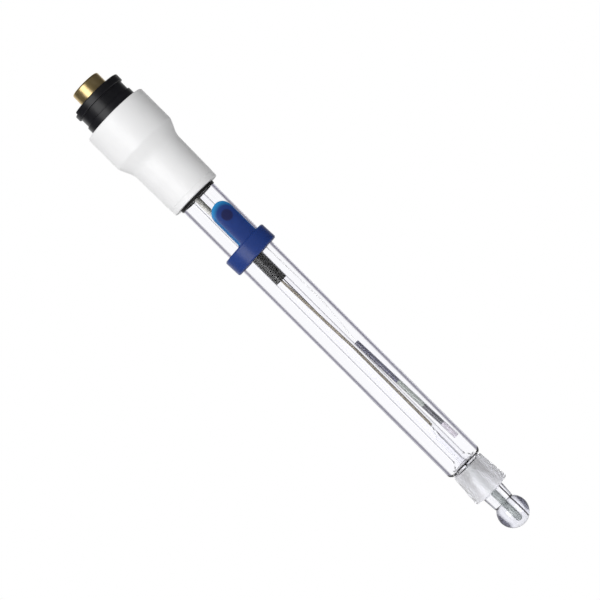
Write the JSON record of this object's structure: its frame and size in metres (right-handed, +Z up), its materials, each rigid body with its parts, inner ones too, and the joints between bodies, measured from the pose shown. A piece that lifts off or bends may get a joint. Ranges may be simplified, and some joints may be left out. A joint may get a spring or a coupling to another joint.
{
  "type": "ph electrode",
  "caption": "Refillable glass combination electrode with a coaxial connector head, a slide ring over the fill hole, a ground-glass sleeve and a round membrane bulb.",
  "frame": {"origin": "centre of the head's underside, where the glass shaft leaves the collar", "axes": "+Z up the electrode's axis towards the connector, -Y the front, +X to its right"},
  "size_m": [0.0208, 0.0208, 0.1768],
  "materials": {
    "head_white": "moulded, satin gloss",
    "connector_black": "moulded, satin",
    "brass_plating": "turned and plated, bright",
    "insulator_white": "smooth",
    "gold_contact": "plated",
    "seal_black": "smooth",
    "resin": "cast",
    "clear_glass": "clear, fire polished",
    "membrane_glass": "clear, thin",
    "frosted_glass": "ground, frosted",
    "ring_blue": "slightly translucent",
    "seal_dark": "smooth",
    "lead_olive": "insulated wire",
    "cable_beige": "insulated wire",
    "silver": "drawn wire",
    "silver_dark": "coated wire",
    "sleeve_brown": "sleeved",
    "core_grey": "packed",
    "salt_navy": "packed salt",
    "wick_green": "packed salt",
    "stop_dark": "packed",
    "plug_pale": "porous plug"
  },
  "bodies": {
    "electrode": {"head_cap": "head_white", "connector_ring": "connector_black", "coax_barrel": "brass_plating", "coax_insulator": "insulator_white", "centre_contact": "gold_contact", "sensor_contacts": "gold_contact", "shaft_gasket": "seal_black", "shaft_bond": "resin", "outer_tube": "clear_glass", "tube_stopper": "seal_black", "stem_tube": "clear_glass", "stem_stopper": "seal_black", "membrane_bulb": "membrane_glass", "measuring_lead": "lead_olive", "sensor_cable": "cable_beige", "reference_wire": "silver", "silver_wire": "silver_dark", "lead_rod": "sleeve_brown", "lead_knot": "sleeve_brown", "sensor_tube": "clear_glass", "sensor_core": "core_grey", "sensor_leads": "silver", "cartridge_tube": "clear_glass", "cartridge_salt": "salt_navy", "cartridge_wick": "wick_green", "cartridge_stop": "stop_dark", "cartridge_plug": "plug_pale"},
    "slide_ring": {"refill_ring": "ring_blue", "hole_seal": "seal_dark"},
    "sleeve": {"ground_sleeve": "frosted_glass"}
  },
  "joints": [
    {"name": "refill_slide", "type": "slide", "parent": "electrode", "child": "slide_ring", "axis": [0, 0, -1], "range_m": [0, 0.014]},
    {"name": "sleeve_lift", "type": "slide", "parent": "electrode", "child": "sleeve", "axis": [0, 0, 1], "range_m": [0, 0.00035]}
  ]
}
